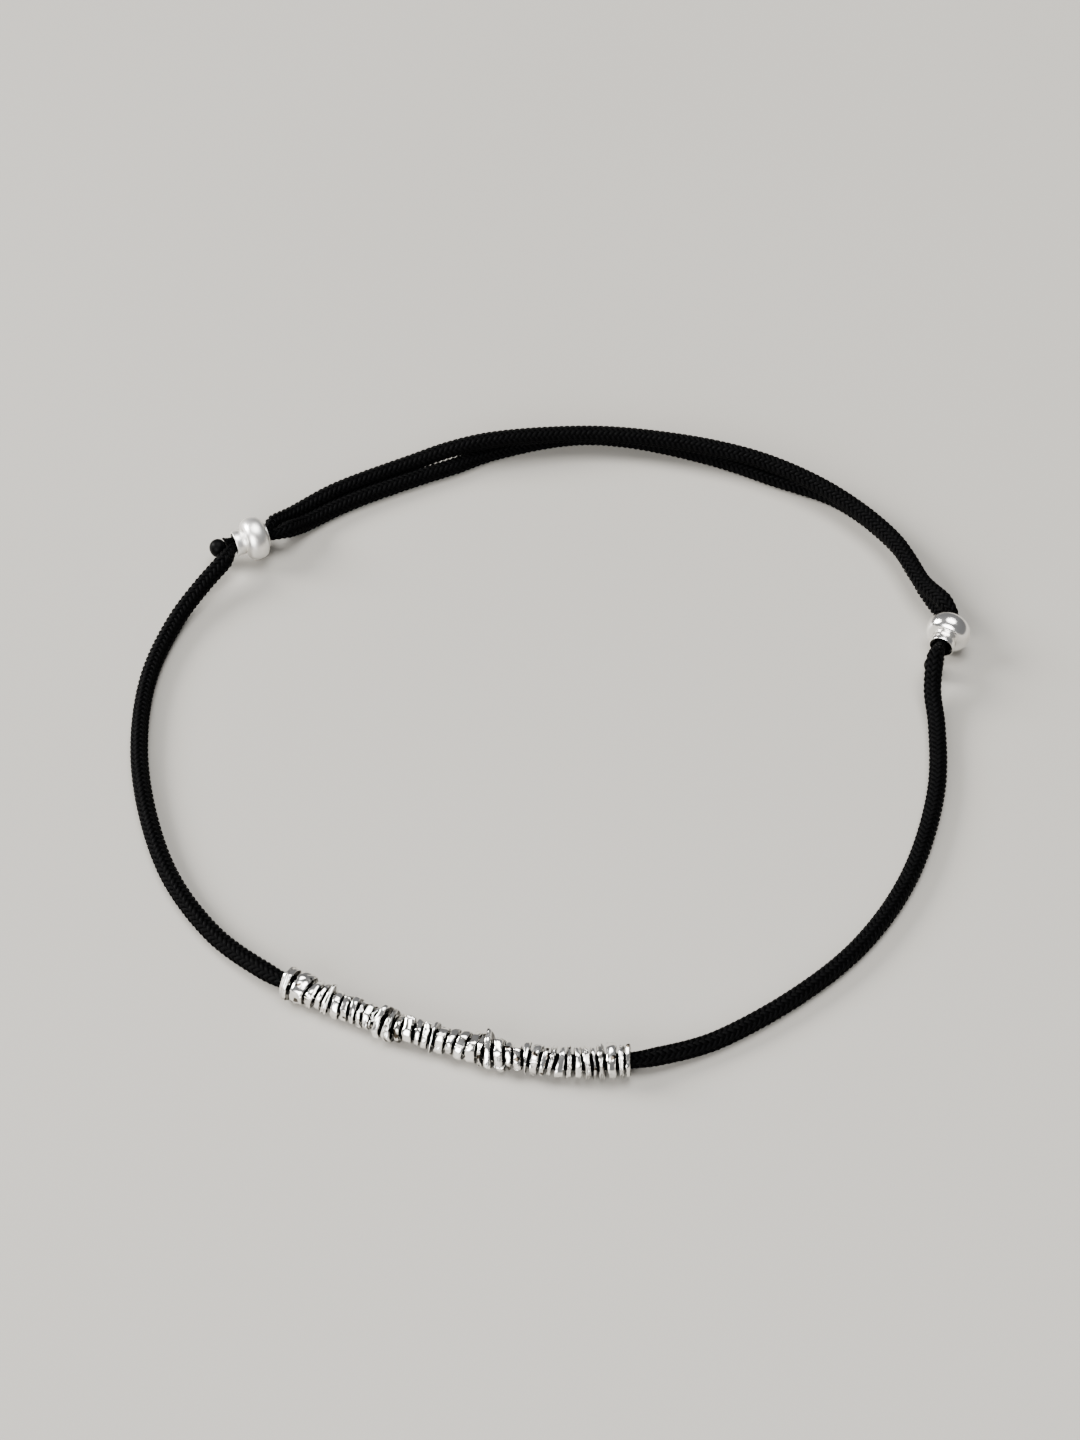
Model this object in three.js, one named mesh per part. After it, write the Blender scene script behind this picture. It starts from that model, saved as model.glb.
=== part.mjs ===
// A string bracelet laid flat in a loop: one black braided cord carries a bar of crushed silver
// chips at the front, and two silver slide beads hold the doubled stretch of cord at the back.
import * as THREE from "three";

// Cord, in millimetres: it is squeezed where the chips and the slide beads grip it
const CORD_DIAMETER = 1.4;
const CORD_IN_CHIPS = 1.2;
const CORD_IN_BEAD = 0.76;
const CORD_SIDES = 8;
const STEPS_PER_ROW = 3;
const STRAND_GAP = 0.08;

// Slide bead: a round disc with a long collar outwards and a short one towards the other bead
const BEAD_DIAMETER = 3.7;
const DISC_LENGTH = 1.86;
const OUTER_COLLAR = 0.85;
const INNER_COLLAR = 0.1;
const COLLAR_DIAMETER = 2.08;
const BEAD_HOLE = 1.8;
const BEAD_SIDES = 16;
const RIM_ROUNDING = 0.05;

// Silver chips: how far each one measures across, from the left to the right. The first two are the
// longest along the cord, and a few have a tip that stands proud of the rest, up and to the back.
const CHIP_SIZES = [
  2.62, 2.5, 2.16, 2.2, 2.28, 2.16, 2.06, 2.14, 2.02, 2.06,
  2.1, 2.5, 2.56, 2.2, 2.08, 2.02, 2.1, 2.34, 2.14, 2.08,
  2.32, 2.42, 2.5, 2.64, 2.46, 2.1, 2.12, 2.44, 2.4, 2.32,
  2.42, 2.36, 2.5, 2.54, 2.58, 2.48, 2.56, 2.6, 2.46, 2.5,
];
const CHIP_HOLE = 1.42;
const CHIP_GAP = 0.09;
const LARGE_CHIPS = 2;
const LARGE_WIDTH = 1.7;
const PROUD_TIPS = new Map([
  [0, 0.2], [4, 0.12], [11, 0.36], [14, 0.16], [17, 0.2], [23, 0.3], [39, 0.14],
]);
const TIP_ANGLE = 62;
const BAR_HEIGHT = 1.15;
const CHIP_ABOVE_TABLE = 0.03;

// How much the chips differ: in width, in how far their corners reach, and in where those lie
const WIDTH_SPREAD = 0.4;
const REACH_SPREAD = 0.12;
const CORNER_SPREAD = 0.25;
const FEWEST_CORNERS = 10;

// How the faces between the chips slant, to the side and upwards: in a slow wave along the bar, and
// a little differently each
const SIDE_SLANT = { wave: 0.17, pace: 0.66, start: 0.6, spread: 0.09 };
const UP_SLANT = { wave: 0.1, pace: 0.45, start: 0, spread: 0.07 };

// Melted cord ends
const END_DIAMETER = 1.56;
const END_LENGTH = 1.3;
const END_GAP = 0.1;
const END_SIDES = 12;

const SILVER = { color: 0xd9d8d4, roughness: 0.18, metalness: 1 };
const BLACK_NYLON = { color: 0x0b0b0c, roughness: 0.7, metalness: 0 };
const MELTED_NYLON = { color: 0x090909, roughness: 0.35, metalness: 0 };

const UP = new THREE.Vector3(0, 0, 1);

// Height of the cord's centre where one of its flats lies on the table
const CORD_CORNER = CORD_DIAMETER / 2;
const LYING = CORD_CORNER * Math.cos(Math.PI / CORD_SIDES);

// Height of a slide bead's axis where one of its flats lies on the table
const BEAD_HEIGHT = (BEAD_DIAMETER / 2) * Math.cos(Math.PI / BEAD_SIDES);

// The slide beads: where each lies, where its outer collar points, and how its two strands lean
const LEFT_BEAD = { x: -27.7, y: 11.85, heading: 218, lean: -15 };
const RIGHT_BEAD = { x: 29.58, y: 16.44, heading: 261, lean: 90 };

// How far along a bead's axis the cord's rows lie
const BEAD_ROWS = [-1.3, -0.45, 0.95, 1.92];

// The cord's two ends, just outside the outer collars
const RIGHT_END = { x: 29.17, y: 14.03, z: 1.2, thick: 1.1 };
const LEFT_END = { x: -29.78, y: 10.68, z: 1.66, thick: 0.8 };

// The single stretch, from the left bead round the front to the right bead
const SINGLE_ROWS = [
  { x: -29.22, y: 8.6, z: 2.0, thick: CORD_DIAMETER },
  { x: -30.28, y: 6.06, z: 1.4, thick: CORD_DIAMETER },
  { x: -31.3, y: 2.33, z: 0.85, thick: CORD_DIAMETER },
  { x: -31.48, y: -3.62, z: LYING, thick: CORD_DIAMETER },
  { x: -29.82, y: -10.71, z: LYING, thick: CORD_DIAMETER },
  { x: -26.77, y: -17.17, z: LYING, thick: CORD_DIAMETER },
  { x: -22.84, y: -22.67, z: LYING, thick: CORD_DIAMETER },
  { x: -18.02, y: -26.72, z: LYING, thick: CORD_DIAMETER },
  { x: -13.22, y: -29.07, z: 1.0, thick: CORD_DIAMETER },
  { x: -11.52, y: -29.65, z: BAR_HEIGHT, thick: CORD_IN_CHIPS },
  { x: -7.42, y: -30.47, z: BAR_HEIGHT, thick: CORD_IN_CHIPS },
  { x: -2.92, y: -31.29, z: BAR_HEIGHT, thick: CORD_IN_CHIPS },
  { x: 2.18, y: -31.62, z: BAR_HEIGHT, thick: CORD_IN_CHIPS },
  { x: 7.18, y: -31.59, z: BAR_HEIGHT, thick: CORD_IN_CHIPS },
  { x: 11.18, y: -30.93, z: BAR_HEIGHT, thick: CORD_IN_CHIPS },
  { x: 14.8, y: -29.75, z: BAR_HEIGHT, thick: CORD_IN_CHIPS },
  { x: 16.4, y: -28.89, z: 1.0, thick: CORD_DIAMETER },
  { x: 20.12, y: -26.25, z: LYING, thick: CORD_DIAMETER },
  { x: 25.05, y: -20.89, z: LYING, thick: CORD_DIAMETER },
  { x: 28.73, y: -15.07, z: LYING, thick: CORD_DIAMETER },
  { x: 31.05, y: -7.87, z: LYING, thick: CORD_DIAMETER },
  { x: 31.53, y: 0.83, z: LYING, thick: CORD_DIAMETER },
  { x: 30.38, y: 7.43, z: 0.72, thick: CORD_DIAMETER },
  { x: 29.43, y: 10.43, z: 1.4, thick: CORD_DIAMETER },
  { x: 29.13, y: 12.9, z: 2.52, thick: CORD_DIAMETER },
];

// The doubled stretch at the back, from the right bead to the left one, by the middle of its two
// strands: lean 0 has the second strand beside the first, outside the loop, and lean 90 on top of
// it. Rise is how far the lower strand is lifted off the table.
const DOUBLE_ROWS = [
  { x: 28.82, y: 18.98, lean: 95, apart: 1.54, rise: 0.3 },
  { x: 26.88, y: 21.18, lean: 112, apart: 1.5, rise: 0 },
  { x: 23.63, y: 25.48, lean: 118, apart: 1.5, rise: 0 },
  { x: 18.04, y: 29.31, lean: 118, apart: 1.5, rise: 0 },
  { x: 12.16, y: 30.91, lean: 88, apart: 1.5, rise: 0 },
  { x: 6.7, y: 31.76, lean: 100, apart: 1.5, rise: 0 },
  { x: -0.85, y: 31.75, lean: 122, apart: 1.5, rise: 0 },
  { x: -5.47, y: 30.75, lean: 124, apart: 1.54, rise: 0 },
  { x: -11.72, y: 27.65, lean: 88, apart: 1.54, rise: 0 },
  { x: -14.7, y: 25.61, lean: 48, apart: 1.57, rise: 0 },
  { x: -17.32, y: 23.75, lean: 20, apart: 1.54, rise: 0 },
  { x: -22.62, y: 19.0, lean: 12, apart: 1.5, rise: 0 },
  { x: -25.22, y: 15.65, lean: -2, apart: 1.52, rise: 0.2 },
  { x: -26.12, y: 13.9, lean: -14, apart: 1.7, rise: 0.68 },
];

// Rows of SINGLE_ROWS between which the chips are threaded
const FIRST_CHIP_ROW = 9;
const LAST_CHIP_ROW = 15;

// A smooth line through the rows that never dips into the table. It has as many steps between any
// two rows, so they are shorter where the rows are closer, and its frames keep the section level.
class CordRoute extends THREE.CatmullRomCurve3 {
  getPoint(t, target) {
    const point = super.getPoint(t, target);
    point.z = Math.max(point.z, LYING);
    return point;
  }

  getUtoTmapping(u) {
    return u;
  }

  computeFrenetFrames(steps) {
    const frames = { tangents: [], normals: [], binormals: [] };
    for (let i = 0; i <= steps; i++) {
      const tangent = this.getTangentAt(i / steps);
      const side = UP.clone().cross(tangent).normalize();
      frames.tangents.push(tangent);
      frames.normals.push(side);
      frames.binormals.push(tangent.clone().cross(side));
    }
    return frames;
  }
}

// A steady value between -1 and 1 for chip i, different for each use
function uneven(i, use) {
  const wave = Math.sin(i * 12.9898 + use * 78.233) * 43758.5453;
  return 2 * (wave - Math.floor(wave)) - 1;
}

function radians(degrees) {
  return THREE.MathUtils.degToRad(degrees);
}

// A bead's centre, its axis towards the outer collar, and the level normal of that axis
function beadFrame(bead) {
  const heading = radians(bead.heading);
  const axis = new THREE.Vector3(Math.cos(heading), Math.sin(heading), 0);
  return {
    centre: new THREE.Vector3(bead.x, bead.y, BEAD_HEIGHT),
    axis,
    side: UP.clone().cross(axis),
  };
}

// The rows of one strand through a bead, inner collar first. Outward is the sign of the bead's side
// that faces out of the loop, and which is -1 for the first strand or 1 for the second.
function beadRows(bead, outward, which) {
  const { centre, axis, side } = beadFrame(bead);
  const reach = (which * (CORD_IN_BEAD + STRAND_GAP)) / 2;
  return BEAD_ROWS.map((along) => {
    const point = centre.clone().addScaledVector(axis, along);
    point.addScaledVector(side, outward * reach * Math.cos(radians(bead.lean)));
    point.addScaledVector(UP, reach * Math.sin(radians(bead.lean)));
    return { point, thick: CORD_IN_BEAD };
  });
}

// The rows of one strand of the doubled stretch, from the right bead to the left one
function doubleRows(which) {
  return DOUBLE_ROWS.map((row, i) => {
    const before = DOUBLE_ROWS[Math.max(i - 1, 0)];
    const after = DOUBLE_ROWS[Math.min(i + 1, DOUBLE_ROWS.length - 1)];
    const outward = new THREE.Vector3(after.y - before.y, before.x - after.x, 0).normalize();
    const lean = radians(row.lean);
    const reach = (which * row.apart) / 2;
    const height = LYING + row.rise + Math.abs((row.apart / 2) * Math.sin(lean));
    const point = new THREE.Vector3(row.x, row.y, height + reach * Math.sin(lean));
    point.addScaledVector(outward, reach * Math.cos(lean));
    return { point, thick: CORD_DIAMETER };
  });
}

function plainRow(row) {
  return { point: new THREE.Vector3(row.x, row.y, row.z), thick: row.thick };
}

// The whole cord: right end, right bead, back, left bead, front, right bead, back, left bead,
// left end. Each pass through a bead uses one of its two strands.
function cordRows() {
  const first = -1;
  const second = 1;
  return [
    plainRow(RIGHT_END),
    ...beadRows(RIGHT_BEAD, 1, first).reverse(),
    ...doubleRows(first),
    ...beadRows(LEFT_BEAD, -1, first),
    ...SINGLE_ROWS.map(plainRow),
    ...beadRows(RIGHT_BEAD, 1, second).reverse(),
    ...doubleRows(second),
    ...beadRows(LEFT_BEAD, -1, second),
    plainRow(LEFT_END),
  ];
}

const ROWS = cordRows();
const ROUTE = new CordRoute(ROWS.map((row) => row.point));
const FIRST_SINGLE_ROW = 1 + 2 * BEAD_ROWS.length + DOUBLE_ROWS.length;

function material(finish) {
  return new THREE.MeshStandardMaterial(finish);
}

function named(name, geometry, finish) {
  const mesh = new THREE.Mesh(geometry, material(finish));
  mesh.name = name;
  return mesh;
}

// The cord's section, with a flat at the bottom
function cordSection(radius) {
  const points = [];
  for (let i = 0; i < CORD_SIDES; i++) {
    const angle = ((i + 0.5) * 2 * Math.PI) / CORD_SIDES;
    points.push(new THREE.Vector2(radius * Math.cos(angle), radius * Math.sin(angle)));
  }
  return new THREE.Shape(points);
}

// The cord is swept as a thin core, and each ring is then widened to its own thickness
function cord() {
  const core = 0.1;
  const steps = (ROWS.length - 1) * STEPS_PER_ROW;
  const geometry = new THREE.ExtrudeGeometry(cordSection(core), { steps, extrudePath: ROUTE });
  const rings = ROUTE.getSpacedPoints(steps);
  const position = geometry.getAttribute("position");
  const vertex = new THREE.Vector3();
  for (let i = 0; i < position.count; i++) {
    vertex.fromBufferAttribute(position, i);
    const distances = rings.map((ring) => ring.distanceToSquared(vertex));
    const nearest = distances.indexOf(Math.min(...distances));
    const row = Math.min(Math.floor(nearest / STEPS_PER_ROW), ROWS.length - 2);
    const share = nearest / STEPS_PER_ROW - row;
    const thick = THREE.MathUtils.lerp(ROWS[row].thick, ROWS[row + 1].thick, share);
    vertex.sub(rings[nearest]).multiplyScalar(thick / 2 / core).add(rings[nearest]);
    position.setXYZ(i, vertex.x, vertex.y, vertex.z);
  }
  geometry.computeVertexNormals();
  return named("cord", geometry, BLACK_NYLON);
}

// One half of the bead's profile, from the disc's middle to the mouth of its collar
function halfProfile(collarLength) {
  const disc = BEAD_DIAMETER / 2;
  const half = DISC_LENGTH / 2;
  const collar = COLLAR_DIAMETER / 2;
  const end = half + collarLength;
  return [
    [disc, 0.2 * half],
    [0.965 * disc, 0.5 * half],
    [0.85 * disc, 0.78 * half],
    [0.68 * disc, 0.97 * half],
    [collar, half + 0.02],
    [collar, end - RIM_ROUNDING],
    [collar - RIM_ROUNDING, end],
    [BEAD_HOLE / 2, end - RIM_ROUNDING],
  ];
}

// The bead is lathed about Y, outer collar first, with a flat of its disc at the bottom
function slideBeadGeometry() {
  const outer = halfProfile(OUTER_COLLAR).map(([across, along]) => new THREE.Vector2(across, along));
  const inner = halfProfile(INNER_COLLAR).map(([across, along]) => new THREE.Vector2(across, -along));
  const profile = [...inner.reverse(), ...outer];
  profile.push(profile[0]);
  return new THREE.LatheGeometry(profile, BEAD_SIDES, Math.PI / BEAD_SIDES);
}

function slideBead(name, bead) {
  const { centre, axis } = beadFrame(bead);
  const mesh = named(name, slideBeadGeometry(), SILVER);
  mesh.position.copy(centre);
  mesh.quaternion.setFromUnitVectors(new THREE.Vector3(0, 1, 0), axis);
  return mesh;
}

// A melted end is a round stop just past the cord's end, at u 0 or 1 of the route
function meltedEnd(name, u) {
  const radius = END_DIAMETER / 2;
  const profile = [
    [0, 0],
    [0.72 * radius, 0],
    [0.94 * radius, 0.16 * END_LENGTH],
    [radius, 0.42 * END_LENGTH],
    [0.9 * radius, 0.7 * END_LENGTH],
    [0.55 * radius, 0.94 * END_LENGTH],
    [0, END_LENGTH],
  ].map(([across, along]) => new THREE.Vector2(across, along));
  const outward = ROUTE.getTangentAt(u).multiplyScalar(u === 0 ? -1 : 1);
  const mesh = named(name, new THREE.LatheGeometry(profile, END_SIDES), MELTED_NYLON);
  mesh.position.copy(ROUTE.getPointAt(u)).addScaledVector(outward, END_GAP);
  mesh.quaternion.setFromUnitVectors(new THREE.Vector3(0, 1, 0), outward);
  return mesh;
}

// Length along the cord from the first chip row, and the place on the route at such a length
function barLengths() {
  const samples = 600;
  const from = (FIRST_SINGLE_ROW + FIRST_CHIP_ROW) / (ROWS.length - 1);
  const to = (FIRST_SINGLE_ROW + LAST_CHIP_ROW) / (ROWS.length - 1);
  const table = [{ u: from, length: 0 }];
  let last = ROUTE.getPoint(from);
  for (let i = 1; i <= samples; i++) {
    const u = THREE.MathUtils.lerp(from, to, i / samples);
    const point = ROUTE.getPoint(u);
    table.push({ u, length: table[i - 1].length + point.distanceTo(last) });
    last = point;
  }
  return table;
}

function slant({ wave, pace, start, spread }, i, use) {
  return wave * Math.sin(pace * i + start) + spread * uneven(i, use);
}

// The faces between the chips: where each lies along the bar, and how it slants
function chipFaces(barLength) {
  const widths = [];
  for (let i = 0; i < CHIP_SIZES.length; i++) {
    widths.push((i < LARGE_CHIPS ? LARGE_WIDTH : 1) * (1 + WIDTH_SPREAD * uneven(i, 1)));
  }
  const scale = barLength / widths.reduce((sum, width) => sum + width, 0);
  const faces = [];
  let along = 0;
  for (let i = 0; i <= CHIP_SIZES.length; i++) {
    faces.push({ along, slantX: slant(SIDE_SLANT, i, 2), slantY: slant(UP_SLANT, i, 3) });
    along += (widths[i] || 0) * scale;
  }
  return faces;
}

// How far corner k of chip i lies from the hole's middle, and at what angle
function chipCorner(i, k, corners) {
  const angle = ((k + CORNER_SPREAD * uneven(i * corners + k, 6)) * 2 * Math.PI) / corners;
  const facing = Math.max(0, Math.cos(angle - radians(TIP_ANGLE)));
  const tip = (PROUD_TIPS.get(i) || 0) * facing ** 4;
  const reach = (CHIP_SIZES[i] / 2) * (1 + REACH_SPREAD * uneven(i * corners + k, 5) + tip);
  return { reach, angle };
}

// A chip is lathed as a plain ring, from 1 to 2 across and from 0 to 1 along its axis. Its corners
// then take their uneven places, flattened where they lie on the table, and its ends the slants of
// the two faces, apart from a gap that it shares with its neighbours.
function chipGeometry(i, front, back) {
  const corners = FEWEST_CORNERS + (i % 3);
  const ring = [[1, 0], [1.86, 0], [2, 0.22], [2, 0.78], [1.86, 1], [1, 1], [1, 0]];
  const profile = ring.map(([across, along]) => new THREE.Vector2(across, along));
  const geometry = new THREE.LatheGeometry(profile, corners);
  const middle = (front.along + back.along) / 2;
  const lowest = CHIP_ABOVE_TABLE - BAR_HEIGHT;
  const position = geometry.getAttribute("position");
  for (let n = 0; n < position.count; n++) {
    const turn = Math.atan2(position.getX(n), position.getZ(n)) / (2 * Math.PI);
    const k = Math.round((turn + 1) * corners) % corners;
    const across = Math.hypot(position.getX(n), position.getZ(n)) - 1;
    const { reach, angle } = chipCorner(i, k, corners);
    const radius = THREE.MathUtils.lerp(CHIP_HOLE / 2, reach, across);
    const x = radius * Math.cos(angle);
    const high = radius * Math.sin(angle);
    const y = high < lowest ? lowest + 0.1 * (high - lowest) : high;
    const near = front.along - middle + front.slantX * x + front.slantY * y + CHIP_GAP / 2;
    const far = back.along - middle + back.slantX * x + back.slantY * y - CHIP_GAP / 2;
    position.setXYZ(n, x, y, THREE.MathUtils.lerp(near, far, position.getY(n)));
  }
  geometry.computeVertexNormals();
  return { geometry, middle };
}

function silverChips() {
  const chips = new THREE.Group();
  const table = barLengths();
  const faces = chipFaces(table[table.length - 1].length);
  for (let i = 0; i < CHIP_SIZES.length; i++) {
    const { geometry, middle } = chipGeometry(i, faces[i], faces[i + 1]);
    const name = `silver_chip_${String(i + 1).padStart(2, "0")}`;
    const mesh = named(name, geometry, SILVER);
    const { u } = table.find((sample) => sample.length >= middle);
    const tangent = ROUTE.getTangent(u);
    const side = UP.clone().cross(tangent).normalize();
    const up = tangent.clone().cross(side);
    mesh.position.copy(ROUTE.getPoint(u));
    mesh.quaternion.setFromRotationMatrix(new THREE.Matrix4().makeBasis(side, up, tangent));
    chips.add(mesh);
  }
  return chips;
}

const bracelet = new THREE.Group();
bracelet.add(cord());
bracelet.add(silverChips());
bracelet.add(slideBead("left_slide_bead", LEFT_BEAD));
bracelet.add(slideBead("right_slide_bead", RIGHT_BEAD));
bracelet.add(meltedEnd("left_melted_end", 1));
bracelet.add(meltedEnd("right_melted_end", 0));

export default bracelet;
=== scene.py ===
import math

import bmesh
import bpy
from mathutils import Matrix, Vector, noise


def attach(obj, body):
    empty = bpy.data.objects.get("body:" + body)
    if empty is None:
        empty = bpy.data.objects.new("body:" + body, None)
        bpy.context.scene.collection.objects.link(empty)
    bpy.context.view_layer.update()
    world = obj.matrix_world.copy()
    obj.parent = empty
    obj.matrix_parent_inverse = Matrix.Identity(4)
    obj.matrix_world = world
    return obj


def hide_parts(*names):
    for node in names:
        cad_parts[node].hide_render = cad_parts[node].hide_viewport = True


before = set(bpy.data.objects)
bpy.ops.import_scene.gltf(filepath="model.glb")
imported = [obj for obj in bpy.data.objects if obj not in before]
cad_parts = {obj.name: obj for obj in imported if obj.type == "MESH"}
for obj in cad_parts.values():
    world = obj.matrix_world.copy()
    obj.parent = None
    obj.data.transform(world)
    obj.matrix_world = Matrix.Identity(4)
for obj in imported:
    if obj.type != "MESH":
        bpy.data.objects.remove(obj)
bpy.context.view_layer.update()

# Camera: it looks down on the bracelet at 50 degrees, from the front and 15 degrees to the right,
# so that the loop shows as a wide oval with the bar of chips nearest.
MM = 0.001
CAMERA_PLACE = (40.505, -151.418, 187.365)
CAMERA_AIM = (-0.16637, 0.62089, -0.76604)
LENS = 77.0
SENSOR_WIDTH = 36.0
NEAREST_SEEN = 0.01
FARTHEST_SEEN = 10.0

camera = bpy.data.objects.new("camera", bpy.data.cameras.new("camera"))
bpy.context.scene.collection.objects.link(camera)
camera.location = Vector(CAMERA_PLACE) * MM
camera.rotation_mode = "QUATERNION"
camera.rotation_quaternion = Vector(CAMERA_AIM).to_track_quat("-Z", "Y")
camera.data.sensor_width = SENSOR_WIDTH
camera.data.lens = LENS
camera.data.clip_start = NEAREST_SEEN
camera.data.clip_end = FARTHEST_SEEN
bpy.context.scene.camera = camera

# Braided cord: one round cord of sixteen nylon yarns plaited two over and two under round a thin
# core. Its ends cross at the back, and each slide bead and the chips squeeze it thinner where they
# hold it. Its sizes and rows are the solid's, in millimetres.
CORD_THICK = 1.4
THIN_IN_CHIPS = 1.2
THIN_IN_BEAD = 0.76
STRAND_GAP = 0.08
CORD_SIDES = 8
BEAD_SIZE = 3.7
BEAD_SIDES = 16
BAR_HEIGHT = 1.15
UP = Vector((0, 0, 1))

# The solids have flat sides, so they lie a little lower than round ones: the heights of the middle
# of a cord and of a bead that lie on the table
LYING = CORD_THICK / 2 * math.cos(math.pi / CORD_SIDES)
BEAD_HEIGHT = BEAD_SIZE / 2 * math.cos(math.pi / BEAD_SIDES)

# Where the beads are, which way out of the loop they point, how their two strands lean, and where
# along a bead's axis the rows of a strand lie
LEFT_BEAD = dict(x=-27.7, y=11.85, heading=218, lean=-15)
RIGHT_BEAD = dict(x=29.58, y=16.44, heading=261, lean=90)
ALONG_BEAD = (-1.3, -0.45, 0.95, 1.92)

# The left tip is thicker than the solid's 0.8, so that it fills the melted end that stands on it
RIGHT_TIP = dict(x=29.17, y=14.03, z=1.2, thick=1.1)
LEFT_TIP = dict(x=-29.78, y=10.68, z=1.66, thick=1.2)

# The single stretch, from the left bead round the front to the right bead
SINGLE_ROWS = [
    dict(x=-29.22, y=8.6, z=2.0, thick=CORD_THICK),
    dict(x=-30.28, y=6.06, z=1.4, thick=CORD_THICK),
    dict(x=-31.3, y=2.33, z=0.85, thick=CORD_THICK),
    dict(x=-31.48, y=-3.62, z=LYING, thick=CORD_THICK),
    dict(x=-29.82, y=-10.71, z=LYING, thick=CORD_THICK),
    dict(x=-26.77, y=-17.17, z=LYING, thick=CORD_THICK),
    dict(x=-22.84, y=-22.67, z=LYING, thick=CORD_THICK),
    dict(x=-18.02, y=-26.72, z=LYING, thick=CORD_THICK),
    dict(x=-13.22, y=-29.07, z=1.0, thick=CORD_THICK),
    dict(x=-11.52, y=-29.65, z=BAR_HEIGHT, thick=THIN_IN_CHIPS),
    dict(x=-7.42, y=-30.47, z=BAR_HEIGHT, thick=THIN_IN_CHIPS),
    dict(x=-2.92, y=-31.29, z=BAR_HEIGHT, thick=THIN_IN_CHIPS),
    dict(x=2.18, y=-31.62, z=BAR_HEIGHT, thick=THIN_IN_CHIPS),
    dict(x=7.18, y=-31.59, z=BAR_HEIGHT, thick=THIN_IN_CHIPS),
    dict(x=11.18, y=-30.93, z=BAR_HEIGHT, thick=THIN_IN_CHIPS),
    dict(x=14.8, y=-29.75, z=BAR_HEIGHT, thick=THIN_IN_CHIPS),
    dict(x=16.4, y=-28.89, z=1.0, thick=CORD_THICK),
    dict(x=20.12, y=-26.25, z=LYING, thick=CORD_THICK),
    dict(x=25.05, y=-20.89, z=LYING, thick=CORD_THICK),
    dict(x=28.73, y=-15.07, z=LYING, thick=CORD_THICK),
    dict(x=31.05, y=-7.87, z=LYING, thick=CORD_THICK),
    dict(x=31.53, y=0.83, z=LYING, thick=CORD_THICK),
    dict(x=30.38, y=7.43, z=0.72, thick=CORD_THICK),
    dict(x=29.43, y=10.43, z=1.4, thick=CORD_THICK),
    dict(x=29.13, y=12.9, z=2.52, thick=CORD_THICK),
]

# The doubled stretch, from the right bead to the left one, by the middle of its two strands: lean 0
# has the second strand beside the first, lean 90 on top of it, and rise lifts both off the table.
# From x -11 to -18 they lie up to 0.1 closer than the solid's, as yarns press into each other.
DOUBLE_ROWS = [
    dict(x=28.82, y=18.98, lean=95, apart=1.54, rise=0.3),
    dict(x=26.88, y=21.18, lean=112, apart=1.5, rise=0),
    dict(x=23.63, y=25.48, lean=118, apart=1.5, rise=0),
    dict(x=18.04, y=29.31, lean=118, apart=1.5, rise=0),
    dict(x=12.16, y=30.91, lean=88, apart=1.5, rise=0),
    dict(x=6.7, y=31.76, lean=100, apart=1.5, rise=0),
    dict(x=-0.85, y=31.75, lean=122, apart=1.5, rise=0),
    dict(x=-5.47, y=30.75, lean=124, apart=1.54, rise=0),
    dict(x=-11.72, y=27.65, lean=88, apart=1.48, rise=0),
    dict(x=-14.7, y=25.61, lean=48, apart=1.47, rise=0),
    dict(x=-17.32, y=23.75, lean=20, apart=1.47, rise=0),
    dict(x=-22.62, y=19.0, lean=12, apart=1.5, rise=0),
    dict(x=-25.22, y=15.65, lean=-2, apart=1.52, rise=0.2),
    dict(x=-26.12, y=13.9, lean=-14, apart=1.7, rise=0.68),
]


def bead_axis(bead):
    """The way out of the loop along a bead."""
    heading = math.radians(bead["heading"])
    return Vector((math.cos(heading), math.sin(heading), 0))


def rows_in_bead(bead, outward, which):
    """The rows of the first strand (which -1) or the second (which 1) through a bead."""
    axis = bead_axis(bead)
    lean = math.radians(bead["lean"])
    reach = which * (THIN_IN_BEAD + STRAND_GAP) / 2
    sideways = UP.cross(axis) * outward * reach * math.cos(lean)
    middle = Vector((bead["x"], bead["y"], BEAD_HEIGHT)) + sideways + UP * reach * math.sin(lean)
    return [(middle + axis * along, THIN_IN_BEAD) for along in ALONG_BEAD]


def rows_of_double(which):
    """The rows of the first strand (which -1) or the second (which 1) along the doubled back."""
    rows = []
    for i, row in enumerate(DOUBLE_ROWS):
        before = DOUBLE_ROWS[max(i - 1, 0)]
        after = DOUBLE_ROWS[min(i + 1, len(DOUBLE_ROWS) - 1)]
        outward = Vector((after["y"] - before["y"], before["x"] - after["x"], 0)).normalized()
        lean = math.radians(row["lean"])
        reach = which * row["apart"] / 2
        height = LYING + row["rise"] + abs(row["apart"] / 2 * math.sin(lean))
        point = Vector((row["x"], row["y"], height)) + UP * reach * math.sin(lean)
        rows.append((point + outward * reach * math.cos(lean), CORD_THICK))
    return rows


def plain_row(row):
    return Vector((row["x"], row["y"], row["z"])), row["thick"]


cord_rows = [
    plain_row(RIGHT_TIP),
    *reversed(rows_in_bead(RIGHT_BEAD, 1, -1)),
    *rows_of_double(-1),
    *rows_in_bead(LEFT_BEAD, -1, -1),
    *[plain_row(row) for row in SINGLE_ROWS],
    *reversed(rows_in_bead(RIGHT_BEAD, 1, 1)),
    *rows_of_double(1),
    *rows_in_bead(LEFT_BEAD, -1, 1),
    plain_row(LEFT_TIP),
]


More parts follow.
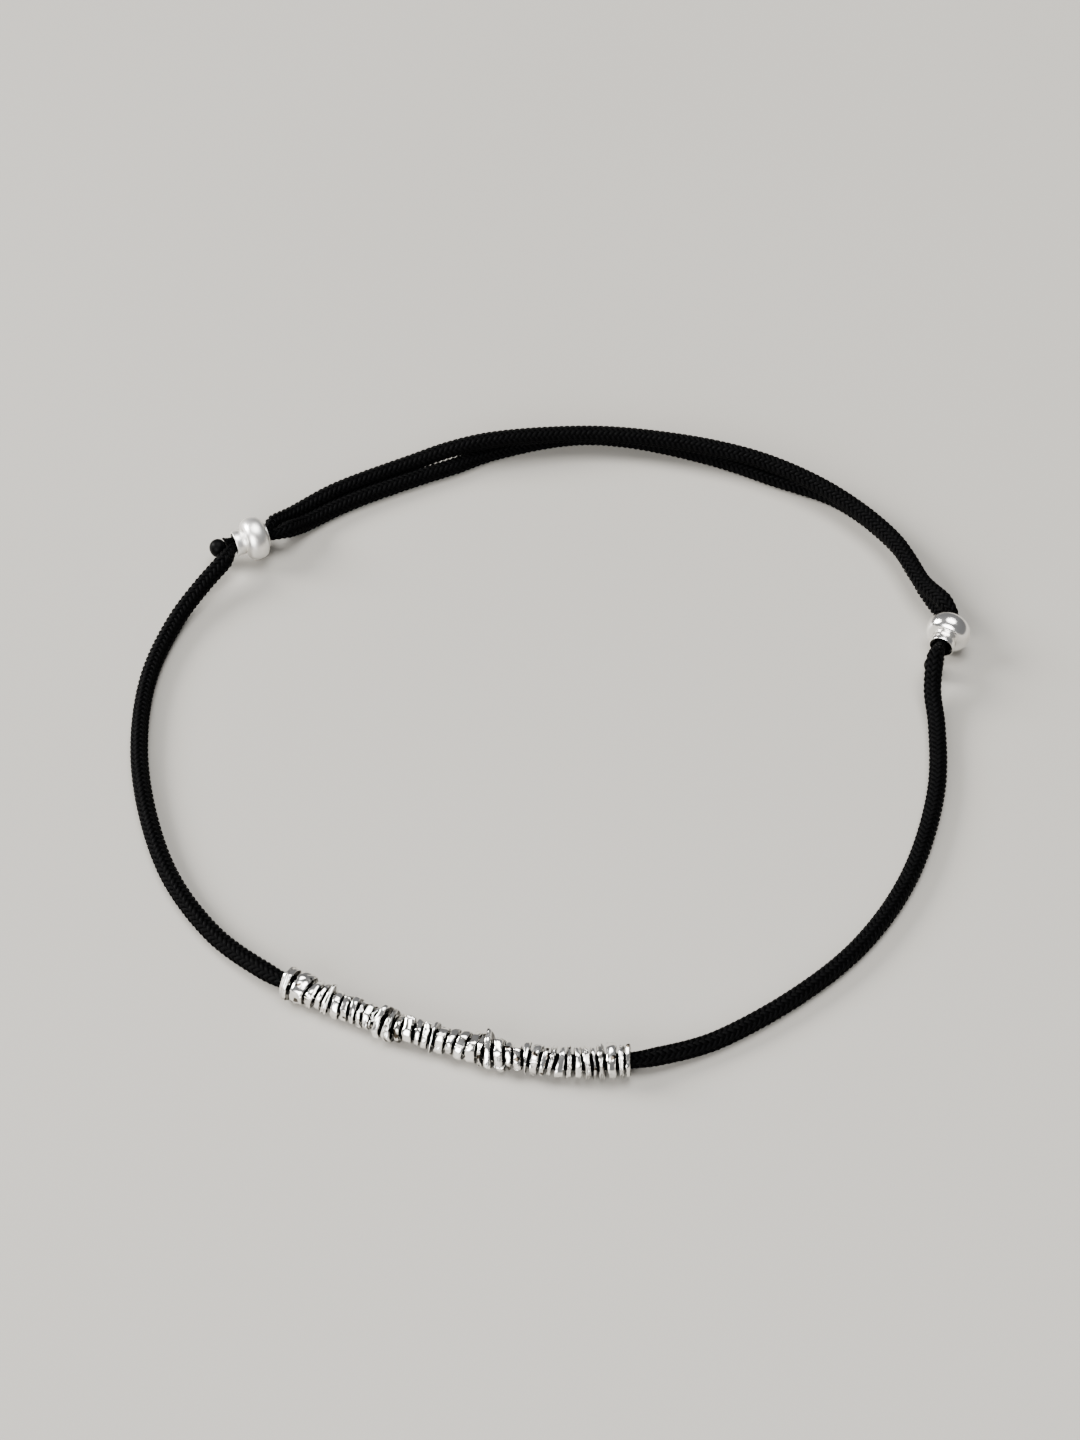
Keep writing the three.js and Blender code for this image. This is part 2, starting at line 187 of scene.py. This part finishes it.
def between_rows(row, share):
    """A point on the smooth line through the rows, never lower than a cord that lies down."""
    points = [point for point, thick in cord_rows]
    ends = [2 * points[0] - points[1], *points, 2 * points[-1] - points[-2]]
    a, b, c, d = ends[row : row + 4]
    step_a, step_b, step_c = ((q - p).length ** 0.5 for p, q in ((a, b), (b, c), (c, d)))
    start = (b - a) / step_a - (c - a) / (step_a + step_b) + (c - b) / step_b
    end = (c - b) / step_b - (d - b) / (step_b + step_c) + (d - c) / step_c
    start, end = start * step_b, end * step_b
    bend = 3 * (c - b) - 2 * start - end
    twist = 2 * (b - c) + start + end
    point = b + start * share + bend * share**2 + twist * share**3
    point.z = max(point.z, LYING)
    return point


def stretch(first, last, steps=12):
    """Points and half thicknesses from one row to another."""
    found = []
    for i in range((last - first) * steps + 1):
        row = min(first + i // steps, len(cord_rows) - 2)
        share = first + i / steps - row
        thick = cord_rows[row][1] * (1 - share) + cord_rows[row + 1][1] * share
        found.append((between_rows(row, share), thick / 2))
    return found


class Socket:
    """A socket of a node tree. Sums written on it add Math nodes, and node() adds any other."""

    def __init__(self, tree, socket):
        self.tree = tree
        self.socket = socket

    def node(self, kind, settings=None, values=None, output=0):
        made = self.tree.nodes.new(kind)
        for name, setting in (settings or {}).items():
            if name == "stops":
                ramp = made.color_ramp.elements
                while len(ramp) < len(setting):
                    ramp.new(0.5)
                for element, (place, colour) in zip(ramp, setting):
                    element.position = place
                    element.color = (*colour, 1.0)
            else:
                setattr(made, name, setting)
        for name, value in (values or {}).items():
            if isinstance(value, Socket):
                self.tree.links.new(value.socket, made.inputs[name])
            else:
                made.inputs[name].default_value = value
        return Socket(self.tree, made.outputs[output])

    def math(self, operation, *values):
        return self.node("ShaderNodeMath", {"operation": operation}, dict(enumerate(values)))

    def vector(self, operation, *values, output=0):
        settings = {"operation": operation}
        return self.node("ShaderNodeVectorMath", settings, dict(enumerate(values)), output)

    def __add__(self, other):
        return self.math("ADD", self, other)

    def __radd__(self, other):
        return self.math("ADD", other, self)

    def __sub__(self, other):
        return self.math("SUBTRACT", self, other)

    def __rsub__(self, other):
        return self.math("SUBTRACT", other, self)

    def __mul__(self, other):
        return self.math("MULTIPLY", self, other)

    def __rmul__(self, other):
        return self.math("MULTIPLY", other, self)

    def __truediv__(self, other):
        return self.math("DIVIDE", self, other)


def new_tree(name, sizes):
    """A geometry tree with named inputs, and its inputs as sockets."""
    tree = bpy.data.node_groups.new(name, "GeometryNodeTree")
    tree.interface.new_socket("Geometry", in_out="INPUT", socket_type="NodeSocketGeometry")
    tree.interface.new_socket("Geometry", in_out="OUTPUT", socket_type="NodeSocketGeometry")
    for label, kind in sizes.items():
        tree.interface.new_socket(label, in_out="INPUT", socket_type=f"NodeSocket{kind}")
    entry = tree.nodes.new("NodeGroupInput")
    return tree, {socket.name: Socket(tree, socket) for socket in entry.outputs if socket.name}


def close_tree(geometry, material):
    """Ends a tree in plain, smooth and painted faces."""
    smooth = geometry.node("GeometryNodeSetShadeSmooth", None, {"Geometry": geometry})
    plain = geometry.node("GeometryNodeRealizeInstances", None, {"Geometry": smooth})
    values = {"Geometry": plain, "Material": material}
    painted = geometry.node("GeometryNodeSetMaterial", None, values)
    out = geometry.tree.nodes.new("NodeGroupOutput")
    geometry.tree.links.new(painted.socket, out.inputs[0])


def grown(name, start, tree, values):
    """The object that a geometry tree makes from a starting mesh, as a plain mesh."""
    seed = bpy.data.objects.new(name + "_start", start)
    bpy.context.scene.collection.objects.link(seed)
    modifier = seed.modifiers.new("grow", "NODES")
    modifier.node_group = tree
    for item in tree.interface.items_tree:
        if item.in_out == "INPUT" and item.name in values:
            modifier[item.identifier] = values[item.name]
    graph = bpy.context.evaluated_depsgraph_get()
    mesh = bpy.data.meshes.new_from_object(seed.evaluated_get(graph), depsgraph=graph)
    bpy.data.objects.remove(seed)
    mesh.name = name
    piece = bpy.data.objects.new(name, mesh)
    bpy.context.scene.collection.objects.link(piece)
    return piece


def new_material(name):
    """A material, and its texture coordinates in metres as a socket."""
    material = bpy.data.materials.new(name)
    material.use_nodes = True
    tree = material.node_tree
    tree.nodes.clear()
    place = Socket(tree, tree.nodes.new("ShaderNodeTexCoord").outputs["Object"])
    return material, place


def close_material(material, surface):
    out = material.node_tree.nodes.new("ShaderNodeOutputMaterial")
    material.node_tree.links.new(surface.socket, out.inputs["Surface"])


# Black nylon yarn: matt and almost pure black, with fine filaments along each yarn and slightly
# paler, duller patches. Here and below, a pattern's number says how many of its patches fit in a
# metre, and a relief is in metres.
FILAMENTS = 22
FILAMENT_PACE = 1.6
FILAMENT_RELIEF = 0.00003
YARN_PATCHES = 900.0
DARK_YARN = (0.0004, 0.0004, 0.0005)
PALE_YARN = (0.0017, 0.0017, 0.0018)
YARN_DULL = 0.42
YARN_DULLER = 0.22
YARN_GLOSS = 0.022

black_nylon, place = new_material("black_nylon_yarn")
across = place.node("ShaderNodeAttribute", {"attribute_name": "across_yarn"}, None, "Fac")
along = place.node("ShaderNodeAttribute", {"attribute_name": "along_yarn"}, None, "Fac")
values = {"X": across * FILAMENTS, "Y": along * FILAMENT_PACE}
lines = place.node("ShaderNodeCombineXYZ", None, values)
filaments = place.node("ShaderNodeTexNoise", None, {"Vector": lines, "Scale": 1.0, "Detail": 3.0})
values = {"Vector": place, "Scale": YARN_PATCHES, "Detail": 2.0}
patches = place.node("ShaderNodeTexNoise", None, values)
shade = filaments * 0.6 + patches * 0.4
stops = [(0.3, DARK_YARN), (0.72, PALE_YARN)]
colour = place.node("ShaderNodeValToRGB", {"stops": stops}, {"Fac": shade}, "Color")
raised = {"Strength": 0.5, "Distance": FILAMENT_RELIEF, "Height": filaments}
bump = place.node("ShaderNodeBump", None, raised)
values = {"Base Color": colour, "Roughness": YARN_DULL + patches * YARN_DULLER, "Normal": bump}
values |= {"Specular IOR Level": YARN_GLOSS, "Sheen Weight": 0.001, "Sheen Roughness": 0.4}
close_material(black_nylon, place.node("ShaderNodeBsdfPrincipled", None, values))

# The braid: each yarn winds round the route, wider or narrower as it goes over or under the others.
# Its sizes are shares of the cord's half thickness.
YARN_MIDDLE = 0.79
YARN_OVER = 0.165
YARN_HALVES = (0.118, 0.245, 1.0)
YARN_SIDES = 6
CORE_HALF = 0.54
CORE_SIDES = 8

sizes = {"Yarns": "Int", "Turn": "Float", "Rings in Turn": "Int", "Material": "Material"}
braid, given = new_tree("braided_cord", sizes)
route = given["Geometry"]
route = route.node("GeometryNodeMeshToCurve", None, {"Mesh": route})
step = given["Turn"] / given["Rings in Turn"]
settings = {"mode": "LENGTH"}
even = route.node("GeometryNodeResampleCurve", settings, {"Curve": route, "Length": step})
half = route.node("GeometryNodeInputNamedAttribute", {"data_type": "FLOAT"}, {"Name": "half"})
values = {"Geometry": even, "Amount": given["Yarns"]}
copies = route.node("GeometryNodeDuplicateElements", {"domain": "SPLINE"}, values)
index = Socket(braid, copies.socket.node.outputs["Duplicate Index"])
length = route.node("GeometryNodeSplineParameter", None, None, "Length")
turns = length / given["Turn"]
way = 1 - 2 * route.math("MODULO", index, 2)
number = route.math("FLOOR", index / 2)
yarns_each_way = given["Yarns"] / 2
angle = (way * turns + number / yarns_each_way) * (2 * math.pi)
crossing = way * (turns * given["Yarns"]) + 2 * number
over = way * route.math("SINE", (crossing + 0.5) * (math.pi / 2))
ahead = route.node("GeometryNodeInputTangent")
side = route.vector("NORMALIZE", route.vector("CROSS_PRODUCT", (0, 0, 1), ahead))
lift = route.vector("CROSS_PRODUCT", ahead, side)
scaling = {"operation": "SCALE"}
values = {0: side, "Scale": route.math("COSINE", angle)}
side_part = route.node("ShaderNodeVectorMath", scaling, values)
values = {0: lift, "Scale": route.math("SINE", angle)}
lift_part = route.node("ShaderNodeVectorMath", scaling, values)
outwards = route.vector("ADD", side_part, lift_part)
radius = half * (YARN_MIDDLE + YARN_OVER * over)
offset = route.node("ShaderNodeVectorMath", scaling, {0: outwards, "Scale": radius})
values = {"Geometry": copies, "Name": "outwards", "Value": outwards}
settings = {"data_type": "FLOAT_VECTOR", "domain": "POINT"}
marked = route.node("GeometryNodeStoreNamedAttribute", settings, values)
settings = {"data_type": "FLOAT", "domain": "POINT"}
values = {"Geometry": marked, "Name": "along_yarn", "Value": length * (1 / MM)}
marked = route.node("GeometryNodeStoreNamedAttribute", settings, values)
wound = route.node("GeometryNodeSetPosition", None, {"Geometry": marked, "Offset": offset})
settings = {"data_type": "FLOAT_VECTOR"}
facing = route.node("GeometryNodeInputNamedAttribute", settings, {"Name": "outwards"})
values = {"Curve": wound, "Normal": facing}
turned = route.node("GeometryNodeSetCurveNormal", {"mode": "FREE"}, values)
values = {"Resolution": YARN_SIDES, "Radius": 1.0}
circle = route.node("GeometryNodeCurvePrimitiveCircle", None, values)
settings = {"data_type": "FLOAT", "domain": "POINT"}
share = route.node("GeometryNodeSplineParameter", None, None, "Factor")
values = {"Geometry": circle, "Name": "across_yarn", "Value": share}
circle = route.node("GeometryNodeStoreNamedAttribute", settings, values)
values = {"Geometry": circle, "Scale": YARN_HALVES}
yarn = route.node("GeometryNodeTransform", None, values)
values = {"Curve": turned, "Profile Curve": yarn, "Scale": half, "Fill Caps": True}
yarns = route.node("GeometryNodeCurveToMesh", None, values)
values = {"Curve": route, "Length": given["Turn"] / 4}
coarse = route.node("GeometryNodeResampleCurve", {"mode": "LENGTH"}, values)
values = {"Resolution": CORE_SIDES, "Radius": CORE_HALF}
ring = route.node("GeometryNodeCurvePrimitiveCircle", None, values)
values = {"Curve": coarse, "Profile Curve": ring, "Scale": half, "Fill Caps": True}
core = route.node("GeometryNodeCurveToMesh", None, values)
joined = braid.nodes.new("GeometryNodeJoinGeometry")
braid.links.new(core.socket, joined.inputs[0])
braid.links.new(yarns.socket, joined.inputs[0])
close_tree(Socket(braid, joined.outputs[0]), given["Material"])


# The cord is three pieces, cut inside the beads, where no cut shows
ROW_IN_LEFT_BEAD = 20
ROW_IN_RIGHT_BEAD = 50
YARNS = 16
BRAID_TURN = 3.8
RINGS_IN_TURN = 24


def braided(name, first, last):
    """The cord between two of its rows, as one piece."""
    rows = stretch(first, last)
    line = bpy.data.meshes.new(name)
    edges = [(i, i + 1) for i in range(len(rows) - 1)]
    line.from_pydata([point * MM for point, half in rows], edges, [])
    halves = line.attributes.new("half", "FLOAT", "POINT")
    halves.data.foreach_set("value", [half * MM for point, half in rows])
    values = {"Yarns": YARNS, "Turn": BRAID_TURN * MM, "Rings in Turn": RINGS_IN_TURN}
    values["Material"] = black_nylon
    piece = grown(name, line, braid, values)
    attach(piece, "root")
    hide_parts("cord")


braided("braided_cord_inner", 0, ROW_IN_LEFT_BEAD)
braided("braided_cord_front", ROW_IN_LEFT_BEAD, ROW_IN_RIGHT_BEAD)
braided("braided_cord_outer", ROW_IN_RIGHT_BEAD, len(cord_rows) - 1)

# Slide beads: two sterling silver beads turned on a lathe, each a round disc with a collar at each
# side. They grip both strands of the cord, so that pulling its ends makes the loop smaller. The
# right one is polished bright, and the left one has gone softer with wear.
COLLAR_ROUND = 1.04
BEAD_HOLE = 0.9
OUTER_END = 1.78
INNER_END = 1.03
DISC_HALF = 0.92
DISC_ROUNDING = (0.85, 0.95)
DISC_STEPS = 12
DISC_FOOT = 0.03
BEAD_LIP = 0.06
LIP_STEPS = 6
BEAD_TURNED_SIDES = 72
LEFT_DULL = 0.3
RIGHT_DULL = 0.1
SAME_POINT = 1e-7
NO_LENGTH = 1e-8

# The groove between disc and collar: how deep it is in the collar, and how far beyond the disc
GROOVE = ((0.06, 0.01), (0.08, 0.04), (0.05, 0.09), (0, 0.13))


def turned(name, profile, sides, place):
    """A solid turned about Z from (radius, height) points, closed at its poles and put in place."""
    points = []
    for i in range(sides):
        turn = Matrix.Rotation(2 * math.pi * i / sides, 4, "Z")
        points += [place @ turn @ Vector((radius, 0, height)) * MM for radius, height in profile]
    count = len(profile)
    faces = []
    for i in range(sides):
        for j in range(count):
            here, there = i * count, (i + 1) % sides * count
            faces.append((here + j, there + j, there + (j + 1) % count, here + (j + 1) % count))
    mesh = bpy.data.meshes.new(name)
    mesh.from_pydata(points, [], faces)
    form = bmesh.new()
    form.from_mesh(mesh)
    bmesh.ops.remove_doubles(form, verts=form.verts, dist=SAME_POINT)
    bmesh.ops.dissolve_degenerate(form, dist=NO_LENGTH, edges=form.edges)
    bmesh.ops.recalc_face_normals(form, faces=form.faces)
    for face in form.faces:
        face.smooth = True
    form.to_mesh(mesh)
    form.free()
    piece = bpy.data.objects.new(name, mesh)
    bpy.context.scene.collection.objects.link(piece)
    return piece


def half_of_bead(end):
    """The bead's outline from the middle of its disc to the mouth of one collar."""
    outline = []
    across_shape, along_shape = DISC_ROUNDING
    for i in range(DISC_STEPS + 1):
        angle = math.radians(90 * i / DISC_STEPS)
        bulge = (BEAD_HEIGHT - COLLAR_ROUND + DISC_FOOT) * math.cos(angle) ** across_shape
        along = DISC_HALF * math.sin(angle) ** along_shape
        outline.append((COLLAR_ROUND - DISC_FOOT + bulge, along))
    for dip, beyond in GROOVE:
        outline.append((COLLAR_ROUND - dip, DISC_HALF + beyond))
    for i in range(LIP_STEPS + 1):
        angle = math.radians(180 * i / LIP_STEPS)
        across = (COLLAR_ROUND + BEAD_HOLE) / 2 + (COLLAR_ROUND - BEAD_HOLE) / 2 * math.cos(angle)
        outline.append((across, end - BEAD_LIP + BEAD_LIP * math.sin(angle)))
    return outline


# Silver: bright, slightly warm in patches, with soft scuffs. A bead shows the fine rings that the
# lathe left. A nugget has painted shade, brown-black, on the sides where its neighbours face it,
# and a few tarnished pits.
WARM_SILVER = (0.87, 0.846, 0.805)
BRIGHT_SILVER = (0.98, 0.967, 0.94)
SILVER_PATCHES = 700.0
UNEVEN_SHINE = 0.12
SCUFFS = 2600.0
TURNING_RINGS = 9000.0
SCUFF_RELIEF = 0.00001
UNDARKENED = (1, 1, 1)
PAINTED_GAP_SHADE = (0.03, 0.026, 0.022)
PITTED = (0.06, 0.05, 0.04)
PITS = 1500.0


def painted_shade_and_pits(place):
    """Painted shade on the nuggets' sides that face their neighbours, and tarnished pits: a colour
    that darkens their silver.
    """
    recess = place.node("ShaderNodeAttribute", {"attribute_name": "recess"}, None, "Fac")
    # Painted shade: the sides that face the next nugget along the bar turn brown-black, where the
    # gaps between the chips lie in shade
    stops = [(0.86, UNDARKENED), (0.97, PAINTED_GAP_SHADE)]
    between = place.node("ShaderNodeValToRGB", {"stops": stops}, {"Fac": recess}, "Color")
    # A few tarnished pits, at random
    values = {"Vector": place, "Scale": PITS, "Detail": 0.5}
    pits = place.node("ShaderNodeTexNoise", None, values)
    stops = [(0.67, UNDARKENED), (0.71, PITTED)]
    pitted = place.node("ShaderNodeValToRGB", {"stops": stops}, {"Fac": pits}, "Color")
    return place.vector("MULTIPLY", between, pitted)


def silver_finish(name, turning, dull):
    """Silver. Turning is a matrix that stands a bead's axis up, or None for a nugget."""
    silver, place = new_material(name)
    values = {"Vector": place, "Scale": SCUFFS, "Detail": 4.0, "Roughness": 0.6}
    scuffs = place.node("ShaderNodeTexNoise", None, values)
    values = {"Vector": place, "Scale": SILVER_PATCHES, "Detail": 2.0}
    patches = place.node("ShaderNodeTexNoise", None, values)
    stops = [(0.3, WARM_SILVER), (0.6, BRIGHT_SILVER)]
    colour = place.node("ShaderNodeValToRGB", {"stops": stops}, {"Fac": patches}, "Color")
    height = scuffs
    # A nugget's colour takes the painted shade between the chips and its tarnished pits
    if not turning:
        colour = place.vector("MULTIPLY", colour, painted_shade_and_pits(place))
    else:
        values = {"Vector": place, "Rotation": turning.to_euler()}
        stood = place.node("ShaderNodeMapping", {"vector_type": "POINT"}, values)
        settings = {"wave_type": "BANDS", "bands_direction": "Z"}
        values = {"Vector": stood, "Scale": TURNING_RINGS, "Distortion": 0.4, "Detail": 1.0}
        rings = place.node("ShaderNodeTexWave", settings, values, "Fac")
        height = scuffs * 0.6 + rings * 0.4
    raised = {"Strength": 0.25, "Distance": SCUFF_RELIEF, "Height": height}
    bump = place.node("ShaderNodeBump", None, raised)
    values = {"Base Color": colour, "Metallic": 1.0, "Roughness": dull + UNEVEN_SHINE * patches}
    values["Normal"] = bump
    close_material(silver, place.node("ShaderNodeBsdfPrincipled", None, values))
    return silver


def slide_bead(name, node, bead, dull):
    """A turned bead round its place on the cord, its longer collar out of the loop."""
    outer = half_of_bead(OUTER_END)
    inner = [(radius, -height) for radius, height in half_of_bead(INNER_END)]
    profile = [*reversed(inner[1:]), *outer]
    stand = bead_axis(bead).to_track_quat("Z", "Y").to_matrix().to_4x4()
    place = Matrix.Translation((bead["x"], bead["y"], BEAD_HEIGHT)) @ stand
    piece = turned(name, profile, BEAD_TURNED_SIDES, place)
    piece.data.materials.append(silver_finish(name + "_silver", stand.inverted(), dull))
    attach(piece, "root")
    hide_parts(node)


slide_bead("turned_left_bead", "left_slide_bead", LEFT_BEAD, LEFT_DULL)
slide_bead("turned_right_bead", "right_slide_bead", RIGHT_BEAD, RIGHT_DULL)

# Silver chips: forty small nuggets of sterling silver, crushed flat, drilled and tumbled bright.
# They are threaded close together on the front of the cord, and every other one is split by a
# crease round it.
CHIPS = 40
CHIP_DULL = 0.09
NUMBER_STEP = 1.7
DENTS = 1500.0
DENTS_DEEP = 0.26
DENTS_MIDDLE = 0.48
CELLS = 1300.0
CELLS_SHARE = 0.2
RECESS_SHARE = 0.25
CREASE_DEEP = 0.16
CREASE_HALF = 0.05
CREASED_FROM = 0.9
ON_CREASE = 1e-6
FACES_AXIS = 0.9
LOOSE_POINTS = 2e-6

sizes = {"Number": "Float", "Dents": "Float", "Material": "Material"}
nugget, given = new_tree("crushed_silver", sizes)
rough = given["Geometry"]
values = {"Mesh": rough, "Level": 2, "Edge Crease": 0.4}
fine = rough.node("GeometryNodeSubdivisionSurface", None, values)
position = rough.node("GeometryNodeInputPosition")
normal = rough.node("GeometryNodeInputNormal", None, None, "Normal")
values = {"Vector": position, "W": given["Number"], "Scale": DENTS, "Detail": 1.5}
settings = {"noise_dimensions": "4D"}
dents = rough.node("ShaderNodeTexNoise", settings, values)
values = {"Vector": position, "W": given["Number"], "Scale": CELLS}
cells = rough.node("ShaderNodeTexVoronoi", {"voronoi_dimensions": "4D"}, values, "Distance")
# How far a face turns to the next nugget along the bar: such faces sink a little here, and the
# silver paints shade on them through the stored recess
recess = rough.math("ABSOLUTE", rough.vector("DOT_PRODUCT", normal, (1, 0, 0), output=1))
depth = dents - DENTS_MIDDLE - CELLS_SHARE * cells - RECESS_SHARE * recess
depth = depth * given["Dents"]
push = rough.node("ShaderNodeVectorMath", scaling, {0: normal, "Scale": depth})
pushed = rough.node("GeometryNodeSetPosition", None, {"Geometry": fine, "Offset": push})
values = {"Geometry": pushed, "Name": "recess", "Value": recess}
settings = {"data_type": "FLOAT", "domain": "POINT"}
close_tree(rough.node("GeometryNodeStoreNamedAttribute", settings, values), given["Material"])

chip_silver = silver_finish("tumbled_silver", None, CHIP_DULL)


def crease_round(form):
    """Sinks a thin line round a chip, midway between its two faces."""
    points = [vertex.co.copy() for vertex in form.verts]
    middle = sum(points, Vector()) / len(points)
    normals = [face.normal * face.calc_area() for face in form.faces]
    widest = max(normals, key=lambda normal: normal.length)
    axis = Vector()
    for normal in normals:
        if abs(normal.normalized().dot(widest.normalized())) > FACES_AXIS:
            axis = axis + (normal if normal.dot(widest) > 0 else -normal)
    axis = axis.normalized()
    for offset in (-CREASE_HALF, 0, CREASE_HALF):
        geometry = [*form.verts, *form.edges, *form.faces]
        centre = middle + axis * offset * MM
        bmesh.ops.bisect_plane(form, geom=geometry, plane_co=centre, plane_no=axis, dist=SAME_POINT)
    for vertex in form.verts:
        away = vertex.co - middle
        if abs(away.dot(axis)) < ON_CREASE and away.length > CREASED_FROM * MM:
            vertex.co -= away.normalized() * CREASE_DEEP * MM


def silver_chip(number):
    """A nugget grown from its own solid, whose loose triangles are merged first."""
    node = f"silver_chip_{number:02d}"
    form = bmesh.new()
    form.from_mesh(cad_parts[node].data)
    bmesh.ops.remove_doubles(form, verts=form.verts, dist=LOOSE_POINTS)
    if number % 2:
        crease_round(form)
    start = bpy.data.meshes.new(node + "_crushed")
    form.to_mesh(start)
    form.free()
    values = {"Number": number * NUMBER_STEP, "Dents": DENTS_DEEP * MM, "Material": chip_silver}
    piece = grown(node + "_crushed", start, nugget, values)
    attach(piece, "root")
    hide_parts(node)


for number in range(1, CHIPS + 1):
    silver_chip(number)

# Melted ends: each end of the cord is melted with a flame into a round black stop that can't slip
# back through its bead. The right one lies hidden under the cord.
END_ROUND = 0.8
END_LONG = 1.42
END_GAP = 0.03
END_ROUNDING = 0.8
END_STEPS = 14
END_SIDES = 40
SWELLS = 1.4
SWELL_MIDDLE = 0.4
SWELL_SIZE = 0.05
NEAR_END = 0.02
RIPPLES = 1900.0
RIPPLE_RELIEF = 0.00004
DARK_MELT = (0.0003, 0.0003, 0.0004)
PALE_MELT = (0.001, 0.001, 0.0011)
MELT_DULL = 0.34
MELT_DULLER = 0.2
MELT_GLOSS = 0.035

melted_nylon, place = new_material("melted_nylon")
values = {"Vector": place, "Scale": RIPPLES, "Detail": 3.0}
ripples = place.node("ShaderNodeTexNoise", None, values)
stops = [(0.3, DARK_MELT), (0.7, PALE_MELT)]
colour = place.node("ShaderNodeValToRGB", {"stops": stops}, {"Fac": ripples}, "Color")
raised = {"Strength": 0.5, "Distance": RIPPLE_RELIEF, "Height": ripples}
bump = place.node("ShaderNodeBump", None, raised)
values = {"Base Color": colour, "Roughness": MELT_DULL + MELT_DULLER * ripples, "Normal": bump}
values["Specular IOR Level"] = MELT_GLOSS
close_material(melted_nylon, place.node("ShaderNodeBsdfPrincipled", None, values))


def melted_end(name, node, tip, before):
    """A drop that stands on the cord's tip, in line with the cord from a point before it."""
    outward = (tip - before).normalized()
    profile = []
    for i in range(END_STEPS + 1):
        angle = math.radians(180 * i / END_STEPS)
        radius = END_ROUND * math.sin(angle) ** END_ROUNDING
        profile.append((radius, END_LONG / 2 * (1 - math.cos(angle))))
    stand = outward.to_track_quat("Z", "Y").to_matrix().to_4x4()
    place = Matrix.Translation(tip + outward * END_GAP) @ stand
    piece = turned(name, profile, END_SIDES, place)
    middle = (tip + outward * (END_GAP + END_LONG / 2)) * MM
    for vertex in piece.data.vertices:
        swell = noise.noise(vertex.co / MM * SWELLS) - SWELL_MIDDLE
        vertex.co = middle + (vertex.co - middle) * (1 + SWELL_SIZE * swell)
    piece.data.materials.append(melted_nylon)
    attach(piece, "root")
    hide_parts(node)


last = len(cord_rows) - 1
before = between_rows(last - 1, 1 - NEAR_END)
melted_end("left_melted_stop", "left_melted_end", cord_rows[last][0], before)
before = between_rows(0, NEAR_END)
melted_end("right_melted_stop", "right_melted_end", cord_rows[0][0], before)

# Table and light: a plain pale warm-grey surface, lit by a window at the left, a wider one in front
# and the soft light of the sky from above, so that the shadows are faint and fall to the right.
# Distances here are in metres, and the table lies a hair below the bracelet.
TABLE_HALF = 4
TABLE_DROP = 0.00001
TABLE_CLOUDS = 14.0
TABLE_DARK = (0.3, 0.286, 0.26)
TABLE_PALE = (0.313, 0.299, 0.273)
WINDOW_WHITE = (1.0, 0.985, 0.965)
DAY_WHITE = (1.0, 0.995, 0.985)
SKY_BLUE = (0.96, 0.97, 1.0, 1.0)
SKY_STRENGTH = 0.2
SKY_WIDE = math.radians(40)

floor_mesh = bpy.data.meshes.new("table")
square = [(-1, -1), (1, -1), (1, 1), (-1, 1)]
corners = [(x * TABLE_HALF, y * TABLE_HALF, -TABLE_DROP) for x, y in square]
floor_mesh.from_pydata(corners, [], [(0, 1, 2, 3)])
table = bpy.data.objects.new("table", floor_mesh)
bpy.context.scene.collection.objects.link(table)
paint, place = new_material("table_paint")
values = {"Vector": place, "Scale": TABLE_CLOUDS, "Detail": 1.0}
clouds = place.node("ShaderNodeTexNoise", None, values)
stops = [(0.3, TABLE_DARK), (0.7, TABLE_PALE)]
colour = place.node("ShaderNodeValToRGB", {"stops": stops}, {"Fac": clouds}, "Color")
values = {"Base Color": colour, "Roughness": 0.6}
close_material(paint, place.node("ShaderNodeBsdfPrincipled", None, values))
floor_mesh.materials.append(paint)


def soft_light(name, kind, place, wide, power, colour):
    """A round window of that width, or for a SUN the sky's light, from a place to the bracelet."""
    lamp = bpy.data.lights.new(name, kind)
    if kind == "SUN":
        lamp.angle = wide
    else:
        lamp.shape = "DISK"
        lamp.size = wide
    lamp.energy = power
    lamp.color = colour
    light = bpy.data.objects.new(name, lamp)
    bpy.context.scene.collection.objects.link(light)
    light.location = place
    light.rotation_mode = "QUATERNION"
    light.rotation_quaternion = (-Vector(place)).to_track_quat("-Z", "Y")


soft_light("window", "AREA", (-1.5, 0.04, 0.78), wide=0.8, power=84, colour=WINDOW_WHITE)
soft_light("front_window", "AREA", (-0.32, -1.48, 0.76), wide=1.28, power=54, colour=DAY_WHITE)
soft_light("sky_light", "SUN", (0.08, 0.2, 1.2), wide=SKY_WIDE, power=4.4, colour=DAY_WHITE)

sky = bpy.data.worlds.new("room")
bpy.context.scene.world = sky
sky.use_nodes = True
background = sky.node_tree.nodes["Background"]
background.inputs["Color"].default_value = SKY_BLUE
background.inputs["Strength"].default_value = SKY_STRENGTH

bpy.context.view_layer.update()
